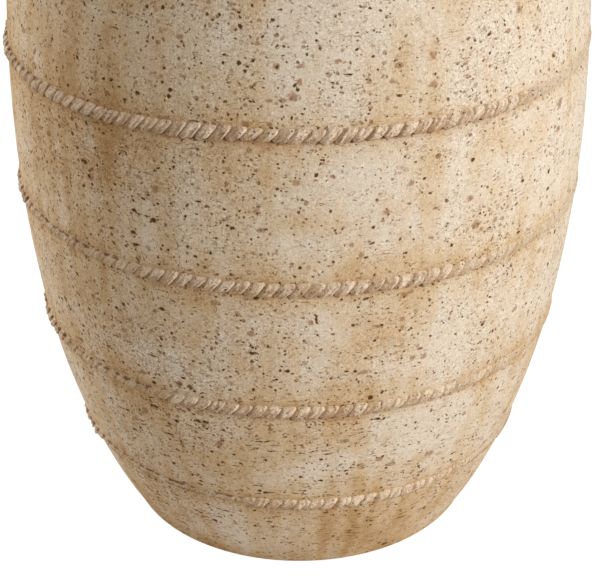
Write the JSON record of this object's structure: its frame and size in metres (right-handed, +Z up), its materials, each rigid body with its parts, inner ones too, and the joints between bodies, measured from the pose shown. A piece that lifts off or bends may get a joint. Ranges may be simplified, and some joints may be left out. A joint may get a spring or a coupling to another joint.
{
  "type": "flower pot",
  "caption": "Tall bellied clay flower pot with a small foot, a rolled lip, and twisted clay ropes pressed round its wall.",
  "frame": {"origin": "centre of the foot, on the surface that the pot stands on", "axes": "+Z up along the pot's axis; X and Y are alike, because the wall is round"},
  "size_m": [0.459, 0.459, 0.62],
  "materials": {
    "clay_wall": "matte, washed and pitted",
    "clay_rope": "matte, hand-pressed",
    "clay_floor": "matte"
  },
  "bodies": {
    "root": {"floor_disc": "clay_floor", "foot_ring": "clay_wall", "wall_ring_2": "clay_wall", "wall_ring_3": "clay_wall", "wall_ring_4": "clay_wall", "wall_ring_5": "clay_wall", "shoulder_ring": "clay_wall", "lip_collar": "clay_wall", "rope_band_1": "clay_rope", "rope_band_2": "clay_rope", "rope_band_3": "clay_rope", "rope_band_4": "clay_rope", "rope_band_5": "clay_rope"}
  },
  "joints": []
}
